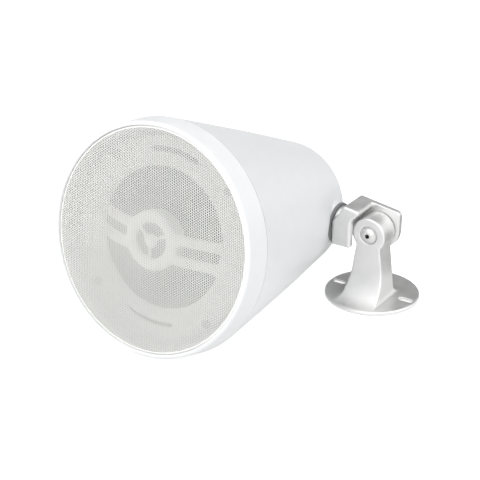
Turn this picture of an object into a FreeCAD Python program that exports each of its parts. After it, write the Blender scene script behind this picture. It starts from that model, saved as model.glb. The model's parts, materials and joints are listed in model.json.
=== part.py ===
import FreeCAD, Part
import math
import os

# Pendant speaker on a two-axis die-cast bracket, in millimetres, +Z up.
# The origin is the centre of the foot's mounting face, and the grille faces -Y, tipped up.
# Speaker pieces are drawn about their own axis, +Y being the depth behind the front edge,
# and are then carried to their place beside the bracket.

V = FreeCAD.Vector

# Housing
seam_radius = 102.5
bezel_flare = 2.5
bezel_depth = 23.5
housing_length = 249.5
taper_deg = 11.0
flank_swell = 1.0
swell_spread = 0.4
rear_round = 28.0
housing_wall = 3.5
mouth_depth = 12.5
seam_gap = 0.6
seam_step = 1.6
spigot_length = 10.5
spigot_wall = 3.0
fit_gap = 0.2
lip_width = 3.4
lip_outer_round = 2.2
lip_inner_round = 0.9
bezel_wall = 4.0
chamber_inset = 6.0

# Grille
grille_recess = 1.8
grille_sheet = 0.8
grille_skirt = 5.0
grille_corner = 1.0
grille_gap = 0.15
hole_pitch = 15.6
hole_across_flats = 12.4
grille_border = 4.3

# Ledge and panel inside the bezel
ledge_width = 4.6
ledge_thickness = 2.5
panel_thickness = 3.5
panel_width = 16.0

# Coaxial driver, by depth from the front edge
driver_turn_deg = 4.0
trim_front = 20.0
trim_thickness = 4.0
trim_round = 1.0
driver_gap = 5.0
trim_width = 25.5
flange_thickness = 1.5
gasket_thickness = 2.0
arc_slot_inset = 11.2
arc_slot_width = 5.0
arc_slot_span_deg = 34.0
arc_slot_first_deg = 90.0
arc_slots_count = 2
screw_inset = 5.0
screw_count = 4
screw_shank_radius = 2.0
screw_head_radius = 3.8
screw_head_height = 2.2
screw_reach = 4.0
screw_clearance = 0.12
screw_end_gap = 1.5

# Tweeter bridge
hub_radius = 26.0
hub_opening_radius = 15.5
hub_front = 4.8
hub_face = 2.8
hub_wall = 3.0
hub_depth = 14.5
hub_draft = 1.0
hub_round = 2.0
hub_lip_round = 0.8
arm_outer_half = 13.2
arm_slot_half = 4.8
arm_flare = 6.0
arm_thickness = 3.0
arm_root = 2.0
arm_setback = 1.2
arm_bend_reach = 8.0
arm_bend_radius = 20.0
arm_overlap = 2.5
arm_slot_gap = 0.5
arm_slot_round = 2.0
guard_disc_radius = 6.0
guard_bar = 2.6
guard_thickness = 1.8
guard_bars = 3
guard_turn_deg = 30.0
guard_setback = 0.3

# Tweeter
tweeter_dome_radius = 10.0
tweeter_film = 0.5
tweeter_ring = 0.8
tweeter_cup_radius = 16.0
tweeter_cup_length = 9.0
tweeter_cup_wall = 2.0
tweeter_magnet_radius = 9.0
tweeter_magnet_height = 4.0
tweeter_cup_round = 1.0

# Woofer
lip_thickness = 0.8
lip_hold = 7.5
roll_width = 6.8
roll_height = 3.4
roll_round = 2.4
roll_foot_round = 0.8
roll_lean = 0.6
skin = 0.8
cone_overlap = 2.0
cone_drop = 20.5
coil_inner_radius = 12.5
former_thickness = 0.5
winding_thickness = 0.5
winding_length = 9.0
coil_drop = 41.5
dust_cap_radius = 14.6
dust_cap_height = 5.0
spider_drop = 24.5
spider_wave = 1.6
spider_waves = 3
spider_flat = 1.5
spider_glue = 0.05
spider_seat = 6.0
coil_gap = 0.5
pole_radius = coil_inner_radius - coil_gap
basket_sheet = 1.5
shoulder_inset = 0.5
basket_shelf_radius = 42.5
basket_base_radius = 38.0
basket_drop = 30.5
basket_base_sheet = 3.0
basket_coil_gap = 3.0
window_count = 4
window_deg = 58.0
window_inset = 3.0
plate_radius = 36.0
plate_thickness = 5.0
plate_round = 0.7
magnet_radius = 40.0
magnet_bore_radius = 20.0
magnet_height = 14.0
magnet_round = 1.0

# Crossover on the rear wall
standoff_radius = 3.5
standoff_height = 6.0
board_width_share = 0.89
board_height_share = 0.615
board_rise_share = 0.137
board_thickness = 1.6
board_inset = 4.5
board_corner = 2.0
board_screw_radius = 1.4
board_screw_head = 2.6
capacitor_radius = 6.5
capacitor_length = 28.0
capacitor_rise = 17.0
capacitor_round = 1.0
terminal_width = 26.0
terminal_depth = 14.0
terminal_height = 13.0
terminal_rise = 1.0
terminal_round = 1.0
terminal_screw_radius = 2.6
terminal_ways = 2

# Cable inlet
inlet_drop_share = 0.41
inlet_radius = 7.0
grommet_bore_radius = 4.5
grommet_flange_radius = 9.5
grommet_flange = 1.8
grommet_round = 0.8

# Foot
foot_radius = 45.0
foot_plate = 4.0
foot_edge_round = 1.2
slot_spacing = 71.0
slot_length = 14.0
slot_width = 5.5
core_inner_radius = 27.5
core_outer_radius = 43.3
core_depth = 1.8
pillar_forward = 2.75
pillar_depth = 22.5
pillar_base_half = 19.0
pillar_neck_half = 10.6
front_flare = 29.0
flare_sink = 0.4
side_flare = 5.0
rear_flare = 8.0
pivot_height = 66.5
head_radius = 16.5
head_round = 1.2
head_sink = 2.6
sink_gap = 0.4

# Arm
joint_gap = 0.3
leg_thickness = 6.2
arm_reach = 35.5
arm_drop = 15.0
near_leg_end = 15.6
near_shoulder = 12.5
roof_start = 23.7
roof_high = 26.0
roof_near_end = 5.5
roof_low = 18.8
far_end_radius = 20.0
far_corner_round = 5.0
saddle_reach = 29.5
saddle_height = 15.8
saddle_radius = 12.0
end_height = 8.5
end_wall = 7.5
head_clearance = 0.9
arm_flange_radius = 17.5
arm_flange_thickness = 4.0
shoulder_round = 6.0
cast_round = 2.6
face_round = 2.2
dish_radius = 16.0
dish_boss_radius = 9.5
dish_depth = 1.6

# Swivel seat
pad_radius = 19.5
pad_thickness = 2.2
seat_margin = 0.8
seat_rise = 2.8
swivel_setback = 42.0
rest_tilt_deg = 11.5
inner_boss_radius = 17.0
inner_boss_depth = 15.5
backing_radius = 15.0
backing_thickness = 2.5

# Pivot fasteners
bolt_radius = 4.0
bore_gap = 0.08
button_radius = 7.0
button_height = 3.2
button_top_radius = 4.2
button_edge = 0.9
button_round = 1.2
hex_socket = 4.0
socket_depth = 2.0
washer_radius = 8.0
washer_thickness = 1.6
washer_gap = 0.15
nut_across_flats = 13.0
nut_height = 8.0
nut_collar_radius = 5.6
nut_collar = 2.0
bolt_tail = 2.0

# How far a cutter runs past the faces it opens
over = 1.0

# Worked-out places
TAPER = math.radians(taper_deg)
mid_y = -pillar_forward
front_radius = seam_radius - bezel_flare
lip_inner_radius = front_radius - lip_width
grille_radius = lip_inner_radius - grille_gap
perforated_radius = grille_radius - grille_border
ledge_inner_radius = lip_inner_radius - ledge_width
driver_radius = ledge_inner_radius - driver_gap
panel_opening_radius = driver_radius - panel_width
trim_opening_radius = driver_radius - trim_width
arc_slot_radius = driver_radius - arc_slot_inset
screw_circle_radius = driver_radius - screw_inset
lip_outer = trim_opening_radius + lip_hold
basket_shoulder_radius = lip_outer - shoulder_inset
swivel_depth = housing_length - swivel_setback
seat_reach = seam_radius - (swivel_depth - bezel_depth) * math.tan(TAPER) + seat_rise
seat_x = -(arm_reach + joint_gap + pad_thickness)
speaker_x = seat_x - seat_reach
rear_radius = seam_radius - (housing_length - bezel_depth) * math.tan(TAPER)
board_width = board_width_share * rear_radius
board_height = board_height_share * rear_radius
board_rise = board_rise_share * rear_radius
inlet_drop = inlet_drop_share * rear_radius
trim_back = trim_front + trim_thickness
flange_back = trim_back + flange_thickness
cone_neck_depth = trim_back + cone_drop
coil_end_depth = trim_back + coil_drop
spider_depth = trim_back + spider_drop
basket_base_depth = trim_back + basket_drop
panel_front = flange_back + gasket_thickness
panel_back = panel_front + panel_thickness
grille_back = grille_recess + grille_skirt
roll_outer_radius = trim_opening_radius - roll_foot_round - fit_gap
roll_inner_radius = roll_outer_radius - roll_width
coil_outer_radius = coil_inner_radius + former_thickness
winding_radius = coil_outer_radius + winding_thickness
top_plate_depth = basket_base_depth + basket_base_sheet
magnet_depth = top_plate_depth + plate_thickness
back_plate_depth = magnet_depth + magnet_height
fork_half = pillar_depth / 2 + joint_gap
arm_half = fork_half + leg_thickness
bore_radius = bolt_radius + bore_gap
rear_inner = housing_length - housing_wall
board_front = rear_inner - standoff_height - board_thickness
hub_inner = hub_radius - hub_draft - hub_wall
arm_start = hub_inner + hub_wall / 2
tweeter_seat = hub_front + hub_face
tweeter_rim = hub_inner - fit_gap
spider_start = coil_outer_radius + spider_glue
spider_outer_radius = basket_shelf_radius - 2 * basket_sheet - joint_gap


def outline(points):
    """Closed wire through (x, y, corner radius) points, each corner rounded by a tangent arc."""
    starts = []
    edges = []
    for i, (x, y, radius) in enumerate(points):
        corner = V(x, y, 0)
        before = V(points[i - 1][0], points[i - 1][1], 0)
        after = V(points[(i + 1) % len(points)][0], points[(i + 1) % len(points)][1], 0)
        back = (before - corner).normalize()
        ahead = (after - corner).normalize()
        if radius == 0:
            starts.append((corner, corner))
            continue
        half = back.getAngle(ahead) / 2
        run = radius / math.tan(half)
        inward = (back + ahead).normalize()
        middle = corner + inward * (radius / math.sin(half) - radius)
        first = corner + back * run
        last = corner + ahead * run
        edges.append(Part.Arc(first, middle, last).toShape())
        starts.append((first, last))
    for i, (first, last) in enumerate(starts):
        edges.append(Part.LineSegment(starts[i - 1][1], first).toShape())
    return Part.Wire(Part.__sortEdges__(edges))


def revolved(points):
    """Solid of a (radius, depth, corner radius) profile turned about the speaker's axis."""
    return Part.Face(outline(points)).revolve(V(0, 0, 0), V(0, 1, 0), 360)


def across(points, y_from, y_to):
    """Prism of an (x, z, corner radius) outline from one depth to another."""
    face = Part.Face(outline(points))
    face.rotate(V(0, 0, 0), V(1, 0, 0), 90)
    face.translate(V(0, y_from, 0))
    return face.extrude(V(0, y_to - y_from, 0))


def sideways(points, x_from, x_to):
    """Prism of a (y, z, corner radius) outline from one x to another."""
    face = Part.Face(outline(points))
    face.rotate(V(0, 0, 0), V(1, 1, 1), 120)
    face.translate(V(x_from, 0, 0))
    return face.extrude(V(x_to - x_from, 0, 0))


def rod(radius, start, end):
    """Cylinder between two points."""
    way = end - start
    return Part.makeCylinder(radius, way.Length, start, way)


def depth_rod(radius, x, z, y_from, y_to):
    """Cylinder along the depth direction."""
    return rod(radius, V(x, y_from, z), V(x, y_to, z))


def swivel_rod(radius, x_from, x_to):
    """Cylinder along the swivel axis, in the speaker's own frame."""
    return rod(radius, V(x_from, swivel_depth, 0), V(x_to, swivel_depth, 0))


def rectangle(x_low, z_low, x_high, z_high, radius=0):
    """Corner points of a rectangle for outline()."""
    corners = [(x_low, z_low), (x_high, z_low), (x_high, z_high), (x_low, z_high)]
    return [(x, z, radius) for x, z in corners]


def hexagon(across_flats, x=0, z=0):
    """Corner points of a hexagon for outline()."""
    radius = across_flats / math.sqrt(3)
    turns = [math.radians(60 * k + 30) for k in range(6)]
    return [(x + radius * math.cos(a), z + radius * math.sin(a), 0) for a in turns]


def on_circle(radius, angle_deg, depth):
    """Point on a circle about the speaker's axis."""
    angle = math.radians(angle_deg)
    return V(radius * math.cos(angle), depth, radius * math.sin(angle))


def round_edges(shape):
    """The circular edges of a shape."""
    return [e for e in shape.Edges if e.Curve.TypeId == "Part::GeomCircle"]


def one_solid(shape):
    """The shape without seams between faces that continue each other."""
    return shape.removeSplitter()


def cap_shell(edge_radius, height, thickness, apex_depth):
    """Domed shell with its crown towards the front."""
    ball = (edge_radius ** 2 + height ** 2) / (2 * height)
    centre = V(0, apex_depth + ball, 0)
    shell = Part.makeSphere(ball, centre).cut(Part.makeSphere(ball - thickness, centre))
    return shell.common(depth_rod(edge_radius + thickness, 0, 0, apex_depth - over, apex_depth + height))


def flank_radius(depth, inset=0):
    """Radius of the housing's straight flank at a depth, moved in by a wall."""
    return seam_radius - (depth - bezel_depth) * math.tan(TAPER) - inset / math.cos(TAPER)


def housing_form(front_depth, rear_depth, inset):
    """Solid bell: a slightly swollen cone with a rounded rear edge."""
    middle = (front_depth + rear_depth) / 2
    half_run = (rear_depth - front_depth) / 2
    belly = flank_radius(middle, inset) + flank_swell
    swell_radius = swell_spread * half_run ** 2 / flank_swell
    return revolved([
        (0, front_depth, 0),
        (flank_radius(front_depth, inset), front_depth, 0),
        (belly, middle, swell_radius),
        (flank_radius(rear_depth, inset), rear_depth, rear_round - inset),
        (0, rear_depth, 0),
    ])


def make_rear_housing():
    """Conical shell with the swivel seat, crossover standoffs and cable inlet."""
    shell = housing_form(bezel_depth, housing_length, 0)
    seat = swivel_rod(pad_radius + seat_margin, seat_reach - rear_round, seat_reach)
    spot_face = swivel_rod(pad_radius + 2 * seat_margin, seat_reach, front_radius)
    shell = shell.fuse(seat).cut(spot_face)
    mouth_end = bezel_depth + mouth_depth
    mouth = rod(flank_radius(mouth_end, housing_wall), V(0, 0, 0), V(0, mouth_end, 0))
    shell = shell.cut(housing_form(mouth_end, rear_inner, housing_wall)).cut(mouth)
    boss_face = seat_reach - inner_boss_depth
    boss = swivel_rod(inner_boss_radius, boss_face, seat_reach - housing_wall)
    shell = shell.fuse(boss)
    for x, z in board_corners():
        shell = shell.fuse(depth_rod(standoff_radius, x, z, board_front + board_thickness, rear_inner + over))
    holes = [swivel_rod(bolt_radius + fit_gap, 0, front_radius)]
    holes.append(depth_rod(inlet_radius, 0, -inlet_drop, rear_inner - over, housing_length + over))
    for x, z in board_corners():
        holes.append(depth_rod(board_screw_radius + screw_clearance, x, z, board_front, rear_inner - over))
    return one_solid(shell.cut(holes))


def board_corners():
    """Places of the four crossover board screws, across the axis."""
    x = board_width / 2 - board_inset
    z = board_height / 2 - board_inset
    return [(-x, board_rise - z), (x, board_rise - z), (x, board_rise + z), (-x, board_rise + z)]


def make_front_bezel():
    """Front ring with a rounded lip, the grille ledge, the driver panel and a rear spigot."""
    spigot_radius = flank_radius(bezel_depth + mouth_depth, housing_wall) - fit_gap
    spigot_end = bezel_depth + spigot_length
    spigot_inner = spigot_radius - spigot_wall
    chamber = seam_radius - chamber_inset
    ring = revolved([
        (lip_inner_radius, 0, lip_inner_round),
        (front_radius, 0, lip_outer_round),
        (seam_radius, bezel_depth - seam_gap, 0),
        (seam_radius - seam_step, bezel_depth - seam_gap, 0),
        (seam_radius - seam_step, bezel_depth, 0),
        (spigot_radius, bezel_depth, 0),
        (spigot_radius, spigot_end, 0),
        (spigot_inner, spigot_end, 0),
        (spigot_inner, panel_back, 0),
        (panel_opening_radius, panel_back, 0),
        (panel_opening_radius, panel_front, 0),
        (spigot_inner, panel_front, 0),
        (spigot_inner, bezel_depth - bezel_wall, 0),
        (chamber, bezel_depth - bezel_wall, 0),
        (chamber, grille_back + ledge_thickness, 0),
        (ledge_inner_radius, grille_back + ledge_thickness, 0),
        (ledge_inner_radius, grille_back, 0),
        (lip_inner_radius, grille_back, 0),
    ])
    return ring.cut(screw_holes(panel_front - over, panel_back + over))


def screw_angles():
    """Angles of the driver screws about the axis."""
    return [45 + k * 360 / screw_count - driver_turn_deg for k in range(screw_count)]


def screw_holes(depth_from, depth_to):
    """Cutters for the driver screws."""
    radius = screw_shank_radius + screw_clearance
    ends = [(on_circle(screw_circle_radius, a, depth_from), on_circle(screw_circle_radius, a, depth_to))
            for a in screw_angles()]
    return [rod(radius, first, last) for first, last in ends]


def make_grille():
    """Pressed sheet with a turned-back skirt and a hexagonal field of openings."""
    sheet = revolved([
        (0, grille_recess, 0),
        (grille_radius, grille_recess, grille_corner),
        (grille_radius, grille_back, 0),
        (grille_radius - grille_sheet, grille_back, 0),
        (grille_radius - grille_sheet, grille_recess + grille_sheet, grille_corner - grille_sheet),
        (0, grille_recess + grille_sheet, 0),
    ])
    holes = [Part.Face(outline(hexagon(hole_across_flats, x, z))) for x, z in hole_places()]
    cutters = Part.makeCompound(holes)
    cutters.rotate(V(0, 0, 0), V(1, 0, 0), 90)
    return sheet.cut(cutters.extrude(V(0, grille_back, 0)))


def hole_places():
    """Centres of a triangular grid of openings that lie inside the flat of the grille."""
    row_step = hole_pitch * math.sqrt(3) / 2
    reach = perforated_radius - hole_across_flats / 2
    rows = int(reach / row_step) + 1
    places = []
    for row in range(-rows, rows + 1):
        for column in range(-rows - 1, rows + 2):
            x = (column + (row % 2) / 2) * hole_pitch
            z = row * row_step
            if math.hypot(x, z) <= reach:
                places.append((x, z))
    return places


def arc_slots(depth_from, depth_to):
    """Two opposite curved slots through the driver's flange."""
    slots = []
    inner = arc_slot_radius - arc_slot_width / 2
    outer = arc_slot_radius + arc_slot_width / 2
    for k in range(arc_slots_count):
        middle = arc_slot_first_deg + k * 360 / arc_slots_count
        first = middle - arc_slot_span_deg / 2
        last = middle + arc_slot_span_deg / 2
        sector = Part.Face(outline([(inner, depth_from, 0), (outer, depth_from, 0), (outer, depth_to, 0),
                                    (inner, depth_to, 0)]))
        sector.rotate(V(0, 0, 0), V(0, 1, 0), -first)
        slot = sector.revolve(V(0, 0, 0), V(0, 1, 0), first - last)
        for angle in (first, last):
            slot = slot.fuse(rod(arc_slot_width / 2, on_circle(arc_slot_radius, angle, depth_from),
                                 on_circle(arc_slot_radius, angle, depth_to)))
        slot.rotate(V(0, 0, 0), V(0, 1, 0), driver_turn_deg)
        slots.append(slot)
    return slots


def make_tweeter_bridge():
    """One moulding: trim ring, two slotted arms, tweeter hub and its three-bar guard."""
    ring = revolved([
        (trim_opening_radius, trim_front, trim_round),
        (driver_radius, trim_front, trim_round),
        (driver_radius, trim_back, 0),
        (lip_outer + fit_gap, trim_back, 0),
        (lip_outer + fit_gap, trim_back - lip_thickness, 0),
        (trim_opening_radius, trim_back - lip_thickness, 0),
    ])
    hub_back = hub_front + hub_depth
    hub = revolved([
        (hub_opening_radius, hub_front, hub_lip_round),
        (hub_radius, hub_front, hub_round),
        (hub_radius - hub_draft, hub_back, 0),
        (hub_inner, hub_back, 0),
        (hub_inner, tweeter_seat, 0),
        (hub_opening_radius, tweeter_seat, 0),
    ])
    bridge = ring.fuse(hub)
    for side in (0, 180):
        arm = make_bridge_arm()
        arm.rotate(V(0, 0, 0), V(0, 1, 0), side)
        bridge = bridge.fuse(arm)
    bridge = bridge.fuse(make_guard())
    bridge.rotate(V(0, 0, 0), V(0, 1, 0), driver_turn_deg)
    bridge = bridge.cut(arc_slots(trim_front - over, trim_back + over))
    return one_solid(bridge.cut(screw_holes(trim_front - over, trim_back + over)))


def make_bridge_arm():
    """Slotted arm from the hub to the trim ring, on the +X side."""
    end = trim_opening_radius + arm_overlap
    bend = hub_radius + arm_bend_reach
    plan = across([
        (arm_start, -arm_outer_half, 0),
        (end - arm_flare, -arm_outer_half, arm_flare),
        (end, -arm_outer_half - arm_flare, 0),
        (end, arm_outer_half + arm_flare, 0),
        (end - arm_flare, arm_outer_half, arm_flare),
        (arm_start, arm_outer_half, 0),
    ], 0, trim_back)
    slot_start = hub_radius + arm_slot_gap
    slot_end = trim_opening_radius - arm_slot_gap
    window = rectangle(slot_start, -arm_slot_half, slot_end, arm_slot_half, arm_slot_round)
    slot = across(window, 0, trim_back)
    top = hub_front + arm_setback
    side = Part.Face(outline([
        (arm_start, top, 0),
        (bend, top, arm_bend_radius),
        (end, trim_front, 0),
        (end, trim_front + arm_root, 0),
        (trim_opening_radius, trim_front + arm_root, 0),
        (bend, top + arm_thickness, arm_bend_radius),
        (arm_start, top + arm_thickness, 0),
    ]))
    slab = side.extrude(V(0, 0, 4 * arm_outer_half))
    slab.translate(V(0, 0, -2 * arm_outer_half))
    return plan.cut(slot).common(slab)


def make_guard():
    """Disc on three bars in front of the tweeter dome."""
    back = hub_front + guard_thickness
    guard = rod(guard_disc_radius, V(0, hub_front, 0), V(0, back, 0))
    for k in range(guard_bars):
        bar = across(rectangle(0, -guard_bar / 2, hub_opening_radius + over, guard_bar / 2),
                     hub_front + guard_setback, back)
        bar.rotate(V(0, 0, 0), V(0, 1, 0), -guard_turn_deg - k * 360 / guard_bars)
        guard = guard.fuse(bar)
    return guard


def make_tweeter_diaphragm():
    """Small dome with its flat edge behind the hub's face."""
    back = tweeter_seat + tweeter_ring
    ring = revolved([
        (tweeter_dome_radius - tweeter_film, tweeter_seat, 0),
        (tweeter_rim, tweeter_seat, 0),
        (tweeter_rim, back, 0),
        (tweeter_dome_radius - tweeter_film, back, 0),
    ])
    crown = hub_front + guard_thickness + joint_gap
    height = back - crown
    dome = cap_shell(tweeter_dome_radius, height, tweeter_film, crown)
    return one_solid(ring.fuse(dome))


def make_tweeter_cup():
    """Steel cup behind the tweeter's dome, open to the front."""
    front = tweeter_seat + tweeter_ring
    back = front + tweeter_cup_length
    inner = tweeter_cup_radius - tweeter_cup_wall
    return revolved([
        (0, back - tweeter_cup_wall, 0),
        (inner, back - tweeter_cup_wall, 0),
        (inner, front, 0),
        (tweeter_rim, front, 0),
        (tweeter_rim, front + tweeter_cup_wall, 0),
        (tweeter_cup_radius, front + tweeter_cup_wall, 0),
        (tweeter_cup_radius, back, tweeter_cup_round),
        (0, back, 0),
    ])


def make_tweeter_magnet():
    """Disc magnet on the floor of the tweeter cup."""
    floor = tweeter_seat + tweeter_ring + tweeter_cup_length - tweeter_cup_wall
    return rod(tweeter_magnet_radius, V(0, floor - tweeter_magnet_height, 0), V(0, floor, 0))


def make_surround():
    """Rubber roll that dips behind its lips, the outer one clamped under the trim ring."""
    lip_front = trim_back - lip_thickness
    floor = trim_back + roll_height
    inner_lip = roll_inner_radius - cone_overlap
    return revolved([
        (inner_lip, lip_front, 0),
        (roll_inner_radius + skin, lip_front, roll_foot_round),
        (roll_inner_radius + roll_lean + skin, floor - skin, roll_round - skin),
        (roll_outer_radius - roll_lean - skin, floor - skin, roll_round - skin),
        (roll_outer_radius - skin, lip_front, roll_foot_round),
        (lip_outer, lip_front, 0),
        (lip_outer, trim_back, 0),
        (roll_outer_radius, trim_back, 0),
        (roll_outer_radius - roll_lean, floor, roll_round),
        (roll_inner_radius + roll_lean, floor, roll_round),
        (roll_inner_radius, trim_back, 0),
        (inner_lip, trim_back, 0),
    ])


def make_woofer_cone():
    """Paper cone from the surround's inner lip to the coil former."""
    edge = roll_inner_radius - fit_gap
    return revolved([
        (edge, trim_back, 0),
        (edge, trim_back + skin, 0),
        (edge - cone_overlap - skin, trim_back + skin, 0),
        (coil_outer_radius, cone_neck_depth + skin, 0),
        (coil_outer_radius, cone_neck_depth - skin, 0),
        (edge - cone_overlap, trim_back, 0),
    ])


def cone_depth(radius):
    """Depth of the cone's front surface at a radius."""
    outer = roll_inner_radius - cone_overlap
    share = (outer - radius) / (outer - coil_outer_radius)
    return trim_back + share * (cone_neck_depth - skin - trim_back)


def make_dust_cap():
    """Dome that closes the middle of the cone."""
    foot = cone_depth(dust_cap_radius + skin)
    return cap_shell(dust_cap_radius, dust_cap_height, skin, foot - dust_cap_height)


def make_voice_coil():
    """Former with its winding in the magnet gap."""
    neck = cone_neck_depth - skin
    winding = coil_end_depth - winding_length
    return revolved([
        (coil_inner_radius, neck, 0),
        (coil_outer_radius, neck, 0),
        (coil_outer_radius, winding, 0),
        (winding_radius, winding, 0),
        (winding_radius, coil_end_depth, 0),
        (coil_inner_radius, coil_end_depth, 0),
    ])


def make_spider():
    """Corrugated damper between the former and the basket's shelf."""
    last = spider_outer_radius - spider_seat
    step = (last - spider_start - spider_flat) / (2 * spider_waves)
    front = [(spider_start, spider_depth - skin, 0)]
    for k in range(2 * spider_waves + 1):
        lift = spider_wave if k % 2 else 0
        front.append((spider_start + spider_flat + k * step, spider_depth - skin - lift, 0))
    front.append((spider_outer_radius, spider_depth - skin, 0))
    back = [(r, depth + skin, 0) for r, depth, corner in reversed(front)]
    return revolved(front + back)


def make_basket():
    """Pressed steel frame: flange, four legs, damper shelf and magnet seat."""
    shelf_back = spider_depth + basket_sheet
    frame = revolved([
        (trim_opening_radius, trim_back, 0),
        (driver_radius, trim_back, 0),
        (driver_radius, flange_back, 0),
        (basket_shoulder_radius, flange_back, 0),
        (basket_shelf_radius, spider_depth, 0),
        (basket_shelf_radius, shelf_back, 0),
        (basket_base_radius, shelf_back, 0),
        (basket_base_radius, top_plate_depth, 0),
        (coil_outer_radius + basket_coil_gap, top_plate_depth, 0),
        (coil_outer_radius + basket_coil_gap, basket_base_depth, 0),
        (basket_base_radius - basket_sheet, basket_base_depth, 0),
        (basket_base_radius - basket_sheet, spider_depth, 0),
        (basket_shelf_radius - 2 * basket_sheet, spider_depth, 0),
        (basket_shoulder_radius - 2 * basket_sheet, flange_back, 0),
        (trim_opening_radius, flange_back, 0),
    ])
    windows = []
    for k in range(window_count):
        first = k * 360 / window_count - window_deg / 2
        sector = Part.Face(outline([
            (basket_base_radius + over, flange_back + window_inset, 0),
            (driver_radius, flange_back + window_inset, 0),
            (driver_radius, spider_depth - window_inset, 0),
            (basket_base_radius + over, spider_depth - window_inset, 0),
        ]))
        sector.rotate(V(0, 0, 0), V(0, 1, 0), -first)
        windows.append(sector.revolve(V(0, 0, 0), V(0, 1, 0), -window_deg))
    holes = screw_holes(trim_back - over, flange_back + over)
    return frame.cut(windows + holes + arc_slots(trim_back - over, flange_back + over))


def make_driver_gasket():
    """Foam ring between the basket's flange and the panel."""
    ring = revolved([
        (panel_opening_radius, flange_back, 0),
        (driver_radius - trim_round, flange_back, 0),
        (driver_radius - trim_round, panel_front, 0),
        (panel_opening_radius, panel_front, 0),
    ])
    return ring.cut(screw_holes(flange_back - over, panel_front + over))


def make_top_plate():
    """Front pole plate round the coil."""
    return revolved([
        (winding_radius + coil_gap, top_plate_depth, 0),
        (plate_radius, top_plate_depth, plate_round),
        (plate_radius, magnet_depth, plate_round),
        (winding_radius + coil_gap, magnet_depth, 0),
    ])


def make_magnet():
    """Ferrite ring magnet."""
    return revolved([
        (magnet_bore_radius, magnet_depth, 0),
        (magnet_radius, magnet_depth, magnet_round),
        (magnet_radius, back_plate_depth, magnet_round),
        (magnet_bore_radius, back_plate_depth, 0),
    ])


def make_yoke():
    """Back plate turned in one piece with the pole."""
    return revolved([
        (0, top_plate_depth, 0),
        (pole_radius, top_plate_depth, 0),
        (pole_radius, back_plate_depth, 0),
        (plate_radius, back_plate_depth, 0),
        (plate_radius, back_plate_depth + plate_thickness, plate_round),
        (0, back_plate_depth + plate_thickness, 0),
    ])


def pan_screw(place, depth_head, depth_tip, shank, head, height):
    """Screw along the depth direction, its head towards the front."""
    under = V(place.x, depth_head, place.z)
    tip = V(place.x, depth_tip, place.z)
    crown = V(place.x, depth_head - height, place.z)
    return rod(shank, under, tip).fuse(rod(head, crown, under))


def make_driver_screws():
    """Four screws through the trim ring into the panel."""
    screws = [pan_screw(on_circle(screw_circle_radius, a, 0), trim_front, panel_back + screw_reach,
                        screw_shank_radius, screw_head_radius, screw_head_height) for a in screw_angles()]
    return Part.makeCompound(screws)


def make_crossover_board():
    """Board on the housing's standoffs."""
    low = board_rise - board_height / 2
    plan = rectangle(-board_width / 2, low, board_width / 2, low + board_height, board_corner)
    board = across(plan, board_front, board_front + board_thickness)
    holes = [rod(board_screw_radius + screw_clearance, V(x, board_front - over, z), V(x, rear_inner, z))
             for x, z in board_corners()]
    return board.cut(holes)


def make_board_screws():
    """Four screws that hold the crossover board."""
    tip = rear_inner - screw_end_gap
    screws = [pan_screw(V(x, 0, z), board_front, tip, board_screw_radius, board_screw_head,
                        board_screw_radius) for x, z in board_corners()]
    return Part.makeCompound(screws)


def make_capacitor():
    """Axial capacitor lying on the board."""
    depth = board_front - capacitor_radius
    half = capacitor_length / 2
    body = rod(capacitor_radius, V(-half, depth, capacitor_rise), V(half, depth, capacitor_rise))
    return body.makeFillet(capacitor_round, round_edges(body))


def make_terminal_block():
    """Two-way screw terminal on the board."""
    low = terminal_rise - terminal_height / 2
    high = terminal_rise + terminal_height / 2
    front = board_front - terminal_depth
    plan = rectangle(-terminal_width / 2, low, terminal_width / 2, high, terminal_round)
    block = across(plan, front, board_front)
    step = terminal_width / terminal_ways
    for k in range(terminal_ways):
        x = (k + 0.5) * step - terminal_width / 2
        block = block.cut(rod(terminal_screw_radius, V(x, front - over, terminal_rise),
                              V(x, front + terminal_depth / 2, terminal_rise)))
    return block


def make_cable_grommet():
    """Rubber bush in the cable inlet, flanged on both sides of the rear wall."""
    bush = revolved([
        (grommet_bore_radius, rear_inner - grommet_flange, 0),
        (grommet_flange_radius, rear_inner - grommet_flange, grommet_round),
        (grommet_flange_radius, rear_inner, 0),
        (inlet_radius, rear_inner, 0),
        (inlet_radius, housing_length, 0),
        (grommet_flange_radius, housing_length, 0),
        (grommet_flange_radius, housing_length + grommet_flange, grommet_round),
        (grommet_bore_radius, housing_length + grommet_flange, grommet_round),
    ])
    bush.translate(V(0, 0, -inlet_drop))
    return bush


def make_backing_plate():
    """Steel disc that spreads the swivel bolt's load inside the housing."""
    inner = seat_reach - inner_boss_depth
    disc = rod(backing_radius, V(inner - backing_thickness, swivel_depth, 0), V(inner, swivel_depth, 0))
    return disc.cut(rod(bolt_radius + fit_gap, V(0, swivel_depth, 0), V(seat_reach, swivel_depth, 0)))


def hex_nut(start, way):
    """Lock nut with a domed collar, along a direction."""
    body = across(hexagon(nut_across_flats), 0, nut_height - nut_collar)
    body = body.fuse(rod(nut_collar_radius, V(0, 0, 0), V(0, nut_height, 0)))
    body = body.cut(rod(bore_radius, V(0, -over, 0), V(0, nut_height + over, 0)))
    body.Placement = FreeCAD.Placement(start, FreeCAD.Rotation(V(0, 1, 0), way))
    return one_solid(body)


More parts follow.
